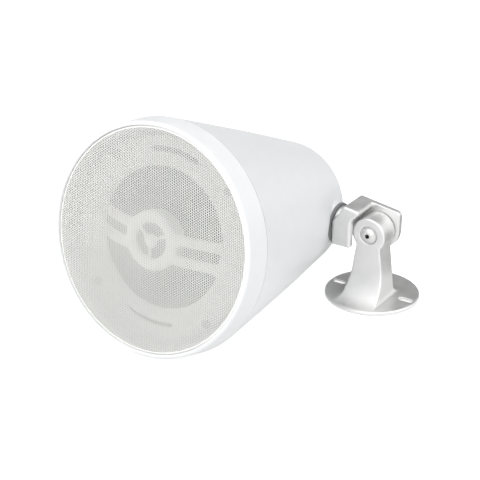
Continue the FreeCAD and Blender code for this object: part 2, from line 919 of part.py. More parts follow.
def button_bolt(start, way, length):
    """Button-head bolt with a hexagon socket; start is under the head, way runs to the tip."""
    head = revolved([
        (0, -button_height, 0),
        (button_top_radius, -button_height, button_round),
        (button_radius, -button_edge, 0),
        (button_radius, 0, 0),
        (0, 0, 0),
    ])
    bolt = head.fuse(rod(bolt_radius, V(0, 0, 0), V(0, length, 0)))
    socket = across(hexagon(hex_socket), -button_height - over, -button_height + socket_depth)
    bolt = one_solid(bolt.cut(socket))
    bolt.Placement = FreeCAD.Placement(start, FreeCAD.Rotation(V(0, 1, 0), way))
    return bolt


def plain_washer(start, way):
    """Flat washer for the pivot bolts, from start along a direction."""
    disc = rod(washer_radius, V(0, 0, 0), V(0, washer_thickness, 0))
    disc = disc.cut(rod(bore_radius, V(0, -over, 0), V(0, washer_thickness + over, 0)))
    disc.Placement = FreeCAD.Placement(start, FreeCAD.Rotation(V(0, 1, 0), way))
    return disc


def pivot(y):
    """Point on the tilt axis."""
    return V(0, y, pivot_height)


def make_foot():
    """Die-cast foot: slotted round plate, flared pillar and round pivot head."""
    front = mid_y - pillar_depth / 2
    back = mid_y + pillar_depth / 2
    sunk = foot_plate - flare_sink
    plate = rod(foot_radius, V(0, 0, 0), V(0, 0, foot_plate))
    rim = [e for e in round_edges(plate) if e.Vertexes[0].Z > foot_plate / 2]
    plate = plate.makeFillet(foot_edge_round, rim)
    from_front = across([
        (-foot_radius, sunk / 2, 0),
        (foot_radius, sunk / 2, 0),
        (foot_radius, sunk, 0),
        (pillar_base_half, sunk, side_flare),
        (pillar_neck_half, pivot_height, 0),
        (-pillar_neck_half, pivot_height, 0),
        (-pillar_base_half, sunk, side_flare),
        (-foot_radius, sunk, 0),
    ], -foot_radius, foot_radius)
    from_side = sideways([
        (-foot_radius, sunk / 2, 0),
        (foot_radius, sunk / 2, 0),
        (foot_radius, sunk, 0),
        (back, sunk, rear_flare),
        (back, pivot_height, 0),
        (front, pivot_height, 0),
        (front, sunk, front_flare),
        (-foot_radius, sunk, 0),
    ], -foot_radius, foot_radius)
    bounds = rod(foot_radius - foot_edge_round, V(0, 0, 0), V(0, 0, 2 * pivot_height))
    pillar = from_front.common(from_side).common(bounds)
    head = rod(head_radius, pivot(front), pivot(back))
    head = head.makeFillet(head_round, round_edges(head))
    foot = plate.fuse(pillar).fuse(head)
    cutters = [rod(bore_radius, pivot(front - over), pivot(back + over))]
    cutters.append(rod(washer_radius + sink_gap, pivot(front - over), pivot(front + head_sink)))
    core = rod(core_outer_radius, V(0, 0, 0), V(0, 0, core_depth))
    cutters.append(core.cut(rod(core_inner_radius, V(0, 0, 0), V(0, 0, core_depth))))
    for side in (-1, 1):
        middle = side * slot_spacing / 2
        run = (slot_length - slot_width) / 2
        slot = Part.makeBox(2 * run, slot_width, 2 * foot_plate, V(middle - run, -slot_width / 2, -over))
        for x in (middle - run, middle + run):
            slot = slot.fuse(rod(slot_width / 2, V(x, 0, -over), V(x, 0, 2 * foot_plate - over)))
        cutters.append(slot)
    return one_solid(foot.cut(cutters))


def from_pivot(points):
    """Points given about the tilt axis, moved to their height."""
    return [(x, z + pivot_height, radius) for x, z, radius in points]


def roof_height(x):
    """Height of the sloping roof above the tilt axis."""
    fall = (roof_high - roof_low) / (roof_start + far_end_radius)
    return roof_high - (x + roof_start) * fall


def make_arm():
    """Die-cast hood: a short near leg, a long far leg round the pivot, a roof and a round flange."""
    left = [(-roof_start, roof_high, cast_round), (-saddle_reach, saddle_height, saddle_radius),
            (-arm_reach, end_height, 0), (-arm_reach, -arm_drop, cast_round)]
    near = [(-near_leg_end, -arm_drop, cast_round), (-near_leg_end, near_shoulder, shoulder_round),
            (-roof_near_end, roof_height(-roof_near_end), cast_round)]
    far = [(0, -arm_drop, 0), (far_end_radius, 0, 0), (far_end_radius, roof_low, far_corner_round)]
    near_body = across(from_pivot(near + left), mid_y - arm_half, mid_y + fork_half + leg_thickness / 2)
    face = [e for e in near_body.Edges if e.BoundBox.YMax < mid_y - arm_half + over]
    near_body = near_body.makeFillet(face_round, face)
    far_leg = across(from_pivot(far + left), mid_y + fork_half, mid_y + arm_half)
    far_leg = far_leg.fuse(rod(far_end_radius, pivot(mid_y + fork_half), pivot(mid_y + arm_half)))
    hollow = head_radius + head_clearance
    cavity = rod(hollow, pivot(mid_y - fork_half), pivot(mid_y + fork_half))
    inner_end = -arm_reach + end_wall
    pocket_top = washer_radius + over
    below = [(inner_end, -arm_reach, 0), (arm_reach, -arm_reach, 0), (arm_reach, 0, 0), (0, 0, 0),
             (0, pocket_top, 0), (inner_end, pocket_top, 0)]
    pocket = across(from_pivot(below), mid_y - fork_half, mid_y + fork_half)
    arm = near_body.cut([cavity, pocket]).fuse(far_leg)
    seat_centre = V(-arm_reach, mid_y, pivot_height)
    arm = arm.fuse(rod(arm_flange_radius, seat_centre, seat_centre + V(arm_flange_thickness, 0, 0)))
    dish = revolved([
        (dish_boss_radius, -over, 0),
        (dish_radius, -over, 0),
        (dish_radius, 0, 0),
        (dish_boss_radius + dish_depth, dish_depth, dish_depth),
        (dish_boss_radius, 0, 0),
    ])
    dish.translate(pivot(mid_y + fork_half))
    bores = [rod(bore_radius, pivot(mid_y), pivot(mid_y + 2 * arm_half)),
             rod(bore_radius, seat_centre - V(over, 0, 0), seat_centre + V(end_wall + over, 0, 0))]
    return one_solid(arm.cut(bores + [dish]))


def make_swivel_pad():
    """Rubber friction pad between the arm and the housing's seat."""
    start = V(seat_x, mid_y, pivot_height)
    pad = rod(pad_radius, start, start + V(pad_thickness, 0, 0))
    return pad.cut(rod(bore_radius, start - V(over, 0, 0), start + V(pad_thickness + over, 0, 0)))


def make_pivot_fasteners():
    """Bolts, washers and nuts of both pivots, by node name."""
    forward = V(0, -1, 0)
    rearward = V(0, 1, 0)
    front = mid_y - pillar_depth / 2 + head_sink - washer_gap
    back = mid_y + arm_half
    tilt_length = back - front + 2 * washer_thickness + nut_height + bolt_tail
    nodes = {
        "tilt_bolt": button_bolt(pivot(front - washer_thickness), rearward, tilt_length),
        "tilt_washer": plain_washer(pivot(front), forward),
        "tilt_rear_washer": plain_washer(pivot(back), rearward),
        "tilt_nut": hex_nut(pivot(back + washer_thickness), rearward),
    }
    inward = V(-1, 0, 0)
    wall = V(-arm_reach + end_wall + washer_gap, mid_y, pivot_height)
    under_head = wall + V(washer_thickness, 0, 0)
    nut_face = V(seat_x - inner_boss_depth - backing_thickness, mid_y, pivot_height)
    swivel_length = (under_head - nut_face).Length + nut_height + bolt_tail
    nodes["swivel_bolt"] = button_bolt(under_head, inward, swivel_length)
    nodes["swivel_washer"] = plain_washer(wall, V(1, 0, 0))
    nodes["swivel_nut"] = hex_nut(nut_face, inward)
    return nodes


def carried(shape):
    """Speaker piece moved from its own axis to its place beside the bracket."""
    shape.translate(V(speaker_x, -swivel_depth, 0))
    shape.rotate(V(0, 0, 0), V(1, 0, 0), -rest_tilt_deg)
    shape.translate(V(0, mid_y, pivot_height))
    return shape


def speaker_nodes():
    """Pieces drawn about the speaker's axis, by node name."""
    return {
        "rear_housing": make_rear_housing(),
        "front_bezel": make_front_bezel(),
        "grille": make_grille(),
        "tweeter_bridge": make_tweeter_bridge(),
        "tweeter_diaphragm": make_tweeter_diaphragm(),
        "tweeter_cup": make_tweeter_cup(),
        "tweeter_magnet": make_tweeter_magnet(),
        "surround": make_surround(),
        "woofer_cone": make_woofer_cone(),
        "dust_cap": make_dust_cap(),
        "voice_coil": make_voice_coil(),
        "spider": make_spider(),
        "basket": make_basket(),
        "driver_gasket": make_driver_gasket(),
        "top_plate": make_top_plate(),
        "magnet": make_magnet(),
        "yoke": make_yoke(),
        "driver_screws": make_driver_screws(),
        "crossover_board": make_crossover_board(),
        "board_screws": make_board_screws(),
        "crossover_capacitor": make_capacitor(),
        "terminal_block": make_terminal_block(),
        "cable_grommet": make_cable_grommet(),
        "backing_plate": make_backing_plate(),
    }


def main():
    """Build every piece and write one STEP file for each."""
    nodes = {name: carried(shape) for name, shape in speaker_nodes().items()}
    nodes["foot"] = make_foot()
    nodes["arm"] = make_arm()
    nodes["swivel_pad"] = make_swivel_pad()
    nodes.update(make_pivot_fasteners())
    os.makedirs("parts", exist_ok=True)
    for name, shape in nodes.items():
        shape.exportStep("parts/" + name + ".step")


main()
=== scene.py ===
"""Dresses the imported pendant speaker: finishes, fine grille, soft castings, studio and camera."""

import json
import logging
import math
from dataclasses import dataclass
from enum import Enum

import bmesh
import bpy
from mathutils import Matrix, Vector
from mathutils.kdtree import KDTree


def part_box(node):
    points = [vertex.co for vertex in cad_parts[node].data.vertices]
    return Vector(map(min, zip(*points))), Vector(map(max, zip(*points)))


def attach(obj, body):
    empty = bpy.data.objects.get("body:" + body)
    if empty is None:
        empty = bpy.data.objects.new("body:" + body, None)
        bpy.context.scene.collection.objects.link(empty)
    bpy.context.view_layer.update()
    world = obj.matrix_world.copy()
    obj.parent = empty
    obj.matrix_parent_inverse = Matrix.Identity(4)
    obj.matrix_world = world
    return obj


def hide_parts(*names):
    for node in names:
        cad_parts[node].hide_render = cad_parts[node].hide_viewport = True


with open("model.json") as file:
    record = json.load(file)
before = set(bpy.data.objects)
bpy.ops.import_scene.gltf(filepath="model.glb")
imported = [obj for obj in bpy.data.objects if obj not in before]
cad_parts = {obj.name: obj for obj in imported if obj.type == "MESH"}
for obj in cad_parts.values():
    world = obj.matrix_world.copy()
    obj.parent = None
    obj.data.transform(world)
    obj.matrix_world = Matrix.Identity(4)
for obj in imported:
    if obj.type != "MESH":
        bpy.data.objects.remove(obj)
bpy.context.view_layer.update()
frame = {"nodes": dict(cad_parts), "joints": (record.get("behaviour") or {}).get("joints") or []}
log = logging.getLogger("pendant_speaker")

Triple = tuple[float, float, float]
Profile = list[tuple[float, float]]
Socket = bpy.types.NodeSocket
Feed = Socket | float | tuple[float, ...]

WHITE = (1.0, 1.0, 1.0, 1.0)

# Sockets of a colour mix node, which have no names of their own.
MIX_FACTOR, MIX_FIRST, MIX_SECOND, MIX_RESULT = 0, 6, 7, 2

# Broad patches of a surface: scale and detail of the noise, and the part of its range in use.
PATCH_SCALE, PATCH_DETAIL = 0.08, 3.0
PATCH_LOW, PATCH_HIGH = 0.3, 0.7

# Fine grain: scale of the rings, how far cloth wanders, and the detail of pulp and of the rest.
RING_SCALE, CLOTH_WANDER = 0.3, 1.5
PULP_DETAIL, PLAIN_DETAIL = 6.0, 2.0

# How far the roughness varies, and the least that it falls to.
ROUGHNESS_SWING, ROUGHNESS_FLOOR = 0.05, 0.05

# Height of the grain as a share of its size.
GRAIN_HEIGHT = 0.25

# Angles of a grille tile's corners, and the distance between rows as a share of the pitch.
HEXAGON = [math.radians(30 + 60 * k) for k in range(6)]
ROW_STEP = math.sqrt(3) / 2

# Angle from which an edge of a turned ring is drawn sharp.
SHARP_ANGLE = math.radians(35)


class Body(Enum):
    """Bodies that the added pieces move with."""

    FOOT = "foot"
    ARM = "arm"
    SPEAKER = "speaker"


class Grain(Enum):
    """Fine structure of a surface."""

    ORANGE_PEEL = "orange_peel"
    CAST = "cast"
    PULP = "pulp"
    MOULDED = "moulded"
    PLATED = "plated"
    CLOTH = "cloth"
    WOUND = "wound"


@dataclass(frozen=True)
class Wiring:
    """Adds nodes to a node tree and feeds their inputs."""

    tree: bpy.types.NodeTree

    def feed(self, socket: Socket, value: Feed) -> None:
        """Gives an input a value, or links it to an output.

        Args:
            socket: Input to feed.
            value: Its value, or the output that it takes its value from.
        """
        if isinstance(value, bpy.types.NodeSocket):
            self.tree.links.new(value, socket)
        else:
            socket.default_value = value

    def add(self, kind: str, feeds: dict[str | int, Feed] | None = None,
            **settings: str) -> bpy.types.Node:
        """Adds a node.

        Args:
            kind: Type of the node.
            feeds: What its inputs take, by their names or numbers.
            settings: Other settings of the node.

        Returns:
            The node.
        """
        node = self.tree.nodes.new(kind)
        for name, value in settings.items():
            setattr(node, name, value)
        for key, value in (feeds or {}).items():
            self.feed(node.inputs[key], value)
        return node

    def number(self, operation: str, *values: Feed) -> Socket:
        """Adds a node that works out a number, and returns the socket of its result."""
        return self.add("ShaderNodeMath", dict(enumerate(values)), operation=operation).outputs[0]


@dataclass(frozen=True)
class Finish:
    """One surface finish, made as a procedural material.

    The colour is linear, the grain size is in metres, and the drift is the share by which the
    colour varies.
    """

    name: str
    colour: Triple
    grain: Grain
    roughness: float
    grain_size: float
    relief: float
    drift: float
    metallic: float = 0.0
    coat: float = 0.0

    def material(self) -> bpy.types.Material:
        """Builds the finish, or returns it if it was built before.

        Returns:
            The material with its node tree.
        """
        found = bpy.data.materials.get(self.name)
        if found:
            return found
        made = bpy.data.materials.new(self.name)
        made.use_nodes = True
        wiring = Wiring(made.node_tree)
        pattern, patches = self.patterns(wiring)
        shader = made.node_tree.nodes["Principled BSDF"]
        for name, value in (("Metallic", self.metallic), ("Coat Weight", self.coat),
                            ("Base Color", self.tinted(wiring, patches)),
                            ("Roughness", self.spread(wiring, patches)),
                            ("Normal", self.bumped(wiring, pattern))):
            wiring.feed(shader.inputs[name], value)
        return made

    def patterns(self, wiring: Wiring) -> tuple[Socket, Socket]:
        """Makes the fine pattern and the broad patches of the surface.

        Args:
            wiring: Node tree of the material.

        Returns:
            The sockets of the fine pattern and of the broad patches.
        """
        place = wiring.add("ShaderNodeTexCoord").outputs["Object"]
        broad = wiring.add("ShaderNodeTexNoise", {
            "Vector": place, "Scale": PATCH_SCALE / self.grain_size, "Detail": PATCH_DETAIL})
        if self.grain in (Grain.CAST, Grain.MOULDED):
            fine = wiring.add("ShaderNodeTexVoronoi", {
                "Vector": place, "Scale": 1.0 / self.grain_size}, feature="SMOOTH_F1")
            height = fine.outputs["Distance"]
        elif self.grain in (Grain.CLOTH, Grain.WOUND):
            fine = wiring.add("ShaderNodeTexWave", {
                "Vector": place, "Scale": RING_SCALE / self.grain_size,
                "Distortion": CLOTH_WANDER if self.grain is Grain.CLOTH else 0.0,
            }, wave_type="RINGS", rings_direction="Y")
            height = fine.outputs["Fac"]
        else:
            fine = wiring.add("ShaderNodeTexNoise", {
                "Vector": place, "Scale": 1.0 / self.grain_size,
                "Detail": PULP_DETAIL if self.grain is Grain.PULP else PLAIN_DETAIL})
            height = fine.outputs["Fac"]
        return height, broad.outputs["Fac"]

    def tinted(self, wiring: Wiring, patches: Socket) -> Socket:
        """Lets the colour drift a little from patch to patch.

        Args:
            wiring: Node tree of the material.
            patches: Socket of the broad patches.

        Returns:
            The socket of the colour.
        """
        ramp = wiring.add("ShaderNodeValToRGB", {"Fac": patches})
        stops = ((PATCH_LOW, 1 - self.drift), (PATCH_HIGH, 1 + self.drift))
        for element, (position, share) in zip(ramp.color_ramp.elements, stops):
            element.position = position
            element.color = (*(min(1.0, c * share) for c in self.colour), 1.0)
        return ramp.outputs["Color"]

    def spread(self, wiring: Wiring, patches: Socket) -> Socket:
        """Lets the roughness vary with the patches.

        Args:
            wiring: Node tree of the material.
            patches: Socket of the broad patches.

        Returns:
            The socket of the roughness.
        """
        span = wiring.add("ShaderNodeMapRange", {
            "Value": patches, "From Min": PATCH_LOW, "From Max": PATCH_HIGH,
            "To Min": max(ROUGHNESS_FLOOR, self.roughness - ROUGHNESS_SWING),
            "To Max": min(1.0, self.roughness + ROUGHNESS_SWING)})
        return span.outputs["Result"]

    def bumped(self, wiring: Wiring, pattern: Socket) -> Socket:
        """Raises the fine pattern.

        Args:
            wiring: Node tree of the material.
            pattern: Socket of the fine pattern.

        Returns:
            The socket of the bumped normal.
        """
        bump = wiring.add("ShaderNodeBump", {
            "Strength": self.relief, "Distance": self.grain_size * GRAIN_HEIGHT,
            "Height": pattern})
        return bump.outputs["Normal"]


@dataclass(frozen=True, kw_only=True)
class SocketShadeFinish(Finish):
    """Finish of a bolt along Y with painted shade in the socket of its head: the socket's colour is
    darkened to stand for the shade in the recess.

    The axis is given by its X and Z, and the socket ends at the depth in Y.
    """

    axis: tuple[float, float]
    socket_radius: float
    depth: float
    socket_shade_colour: Triple

    def tinted(self, wiring: Wiring, patches: Socket) -> Socket:
        """Paints shade into the socket: darkens the colour close to the bolt's axis, standing for
        the shade in the recess.

        Args:
            wiring: Node tree of the material.
            patches: Socket of the broad patches.

        Returns:
            The socket of the colour.
        """
        plain = super().tinted(wiring, patches)
        place = wiring.add("ShaderNodeTexCoord").outputs["Object"]
        flat = wiring.add("ShaderNodeVectorMath", {0: place, 1: (1.0, 0.0, 1.0)},
                          operation="MULTIPLY")
        off = wiring.add("ShaderNodeVectorMath", {
            0: flat.outputs["Vector"], 1: (self.axis[0], 0.0, self.axis[1])},
            operation="DISTANCE")
        # Painted shade: near the axis and in front of the socket's depth the colour turns near
        # black, standing for the shade inside the recess.
        near = wiring.number("LESS_THAN", off.outputs["Value"], self.socket_radius)
        parts = wiring.add("ShaderNodeSeparateXYZ", {0: place})
        front = wiring.number("LESS_THAN", parts.outputs["Y"], self.depth)
        mix = wiring.add("ShaderNodeMix", {
            MIX_FACTOR: wiring.number("MULTIPLY", near, front), MIX_FIRST: plain,
            MIX_SECOND: (*self.socket_shade_colour, 1.0)}, data_type="RGBA")
        return mix.outputs[MIX_RESULT]


SHELL_PAINT = Finish("satin_white_shell", (0.80, 0.81, 0.82), Grain.ORANGE_PEEL,
                     roughness=0.42, grain_size=0.0012, relief=0.06, drift=0.012)
MESH_PAINT = Finish("white_mesh_powder_coat", (0.88, 0.88, 0.86), Grain.ORANGE_PEEL,
                    roughness=0.5, grain_size=0.0006, relief=0.1, drift=0.012)
TRIM_PLASTIC = Finish("white_trim_moulding", (0.80, 0.80, 0.785), Grain.MOULDED,
                      roughness=0.5, grain_size=0.0007, relief=0.1, drift=0.015)
CAST_PAINT = Finish("silver_casting_paint", (0.76, 0.76, 0.755), Grain.CAST,
                    roughness=0.46, grain_size=0.0007, relief=0.08, drift=0.02, metallic=0.8)
CONE_PULP = Finish("grey_cone_pulp", (0.03, 0.0305, 0.032), Grain.PULP,
                   roughness=0.8, grain_size=0.0006, relief=0.5, drift=0.10)
DARK_RUBBER = Finish("dark_moulded_rubber", (0.035, 0.035, 0.036), Grain.MOULDED,
                     roughness=0.65, grain_size=0.0006, relief=0.2, drift=0.12)
# Dark grey of the swivel pad: partly the pad's own colour, partly painted shade of the gap between
# the arm's end and the housing.
PAD_RUBBER_AND_SHADE = Finish("grey_pad_rubber_and_painted_shade", (0.20, 0.20, 0.205), Grain.MOULDED,
                    roughness=0.6, grain_size=0.0006, relief=0.15, drift=0.08)
FOAM = Finish("dark_foam", (0.03, 0.03, 0.03), Grain.PULP,
              roughness=0.9, grain_size=0.0009, relief=0.6, drift=0.2)
DAMPER_CLOTH = Finish("damper_cloth", (0.48, 0.27, 0.08), Grain.CLOTH,
                      roughness=0.85, grain_size=0.0008, relief=0.5, drift=0.12)
SILK = Finish("coated_silk", (0.06, 0.06, 0.065), Grain.PULP,
              roughness=0.55, grain_size=0.0004, relief=0.3, drift=0.10)
COPPER = Finish("copper_winding", (0.72, 0.33, 0.16), Grain.WOUND,
                roughness=0.35, grain_size=0.0004, relief=0.4, drift=0.08, metallic=1.0)
PLATED_STEEL = Finish("plated_steel", (0.56, 0.56, 0.57), Grain.PLATED,
                      roughness=0.34, grain_size=0.0008, relief=0.06, drift=0.05, metallic=1.0)
DARK_ZINC = Finish("dark_zinc", (0.34, 0.34, 0.345), Grain.PLATED,
                   roughness=0.45, grain_size=0.0006, relief=0.05, drift=0.05, metallic=0.6)
SATIN_ZINC = Finish("satin_zinc", (0.70, 0.70, 0.695), Grain.PLATED,
                    roughness=0.5, grain_size=0.0006, relief=0.05, drift=0.04, metallic=0.9)
# Satin zinc with painted shade: the bolt's socket is darkened to stand for the shade in its recess.
ZINC_WITH_SOCKET_SHADE = SocketShadeFinish("satin_zinc_with_socket", (0.70, 0.70, 0.695), Grain.PLATED,
                           roughness=0.5, grain_size=0.0006, relief=0.05, drift=0.04,
                           metallic=0.9, axis=(0.0, 0.0665), socket_radius=0.0021,
                           depth=-0.010, socket_shade_colour=(0.01, 0.01, 0.011))
BLACK_STEEL = Finish("black_painted_steel", (0.02, 0.02, 0.022), Grain.ORANGE_PEEL,
                     roughness=0.45, grain_size=0.0008, relief=0.12, drift=0.1)
FERRITE = Finish("sintered_ferrite", (0.035, 0.035, 0.038), Grain.PULP,
                 roughness=0.7, grain_size=0.0005, relief=0.3, drift=0.15)
BOARD = Finish("green_board", (0.03, 0.13, 0.05), Grain.PULP,
               roughness=0.45, grain_size=0.0007, relief=0.1, drift=0.08, coat=0.3)
YELLOW_FILM = Finish("yellow_film", (0.55, 0.33, 0.03), Grain.MOULDED,
                     roughness=0.35, grain_size=0.0007, relief=0.06, drift=0.05)
GREEN_PLASTIC = Finish("green_terminal_moulding", (0.02, 0.14, 0.05), Grain.MOULDED,
                       roughness=0.4, grain_size=0.0007, relief=0.08, drift=0.05)


def dress(node: str, finish: Finish) -> None:
    """Gives a carried-over solid its finish.

    Args:
        node: Name of the solid.
        finish: Finish to put on it.
    """
    piece = frame["nodes"][node]
    if not piece.material_slots:
        piece.data.materials.append(None)
    for place in piece.material_slots:
        place.material = finish.material()
    log.info("dressed %s in %s", node, finish.name)


def put_in_scene(name: str, data: bpy.types.ID) -> bpy.types.Object:
    """Puts a new object in the scene.

    Args:
        name: Name of the object.
        data: Its mesh, light or camera.

    Returns:
        The object.
    """
    made = bpy.data.objects.new(name, data)
    bpy.context.scene.collection.objects.link(made)
    return made


def add_piece(name: str, mesh: bpy.types.Mesh, body: Body, slot: str, *nodes: str) -> None:
    """Puts a finished mesh in the scene on its body, in place of solids.

    Args:
        name: Name of the piece.
        mesh: Its mesh, in the assembly's frame.
        body: Body that it moves with.
        slot: Material slot of the record; not used.
        nodes: Solids that it stands for.
    """
    piece = put_in_scene(name, mesh)
    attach(piece, body.value)
    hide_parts(*nodes)
    log.info("built %s with %d faces", name, len(mesh.polygons))


def as_mesh(form: bmesh.types.BMesh, name: str) -> bpy.types.Mesh:
    """Turns a form under construction into a mesh and frees it.

    Args:
        form: The form.
        name: Name of the mesh.

    Returns:
        The mesh.
    """
    mesh = bpy.data.meshes.new(name)
    form.to_mesh(mesh)
    form.free()
    return mesh


def settled(piece: bpy.types.Object, name: str) -> bpy.types.Mesh:
    """Turns an object with live modifiers into a plain mesh and removes the object.

    Args:
        piece: Object with modifiers.
        name: Name of the mesh.

    Returns:
        The plain mesh.
    """
    graph = bpy.context.evaluated_depsgraph_get()
    mesh = bpy.data.meshes.new_from_object(piece.evaluated_get(graph), depsgraph=graph)
    mesh.name = name
    bpy.data.objects.remove(piece)
    return mesh


def arc(across: float, depth: float, radius: float, first: float, last: float,
        steps: int) -> Profile:
    """Points of a circular arc in a profile.

    Args:
        across: Distance of the arc's centre from the axis.
        depth: Depth of the arc's centre.
        radius: Radius of the arc.
        first: First angle in degrees, 0 pointing outwards and 90 to the rear.
        last: Last angle in degrees.
        steps: Number of chords.

    Returns:
        The points as (distance from the axis, depth).
    """
    angles = [math.radians(first + (last - first) * k / steps) for k in range(steps + 1)]
    return [(across + radius * math.cos(a), depth + radius * math.sin(a)) for a in angles]


def turned_ring(name: str, profile: Profile, steps: int, axes: Matrix,
                finish: Finish) -> bpy.types.Mesh:
    """Turns a closed profile about the speaker's axis.

    Args:
        name: Name of the mesh.
        profile: Points as (distance from the axis, depth), each off the axis.
        steps: Number of sides.
        axes: Matrix from the speaker's axes to the assembly's frame.
        finish: Finish of the ring.

    Returns:
        The mesh, in the assembly's frame.
    """
    form = bmesh.new()
    rings = []
    for k in range(steps):
        angle = 2 * math.pi * k / steps
        spots = [Vector((r * math.cos(angle), s, r * math.sin(angle))) for r, s in profile]
        rings.append([form.verts.new(axes @ spot) for spot in spots])
    for here, there in zip(rings, rings[1:] + rings[:1]):
        for j in range(len(profile)):
            after = (j + 1) % len(profile)
            form.faces.new((here[j], here[after], there[after], there[j])).smooth = True
    bmesh.ops.recalc_face_normals(form, faces=form.faces)
    mesh = as_mesh(form, name)
    mesh.materials.append(finish.material())
    mesh.set_sharp_from_angle(angle=SHARP_ANGLE)
    return mesh


@dataclass(frozen=True)
class SpeakerAxes:
    """The speaker's own axes: across, depth behind the front edge, and rise."""

    swivel_depth: float = 0.2075

    def matrix(self) -> Matrix:
        """Works out the place of the front edge's centre from the joints.

        Returns:
            The matrix from the speaker's axes to the assembly's frame.
        """
        joints = {joint["name"]: joint for joint in frame["joints"]}
        forward = Vector(joints["cone_stroke"]["axis"]).normalized()
        depth = -forward
        rise = Vector((1, 0, 0)).cross(depth)
        low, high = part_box("dust_cap")
        pivot = Vector(joints["swivel"]["pos_m"])
        pivot.x = (low.x + high.x) / 2
        origin = pivot + forward * self.swivel_depth
        rows = ((1, depth.x, rise.x), (0, depth.y, rise.y), (0, depth.z, rise.z))
        return Matrix.Translation(origin) @ Matrix(rows).to_4x4()


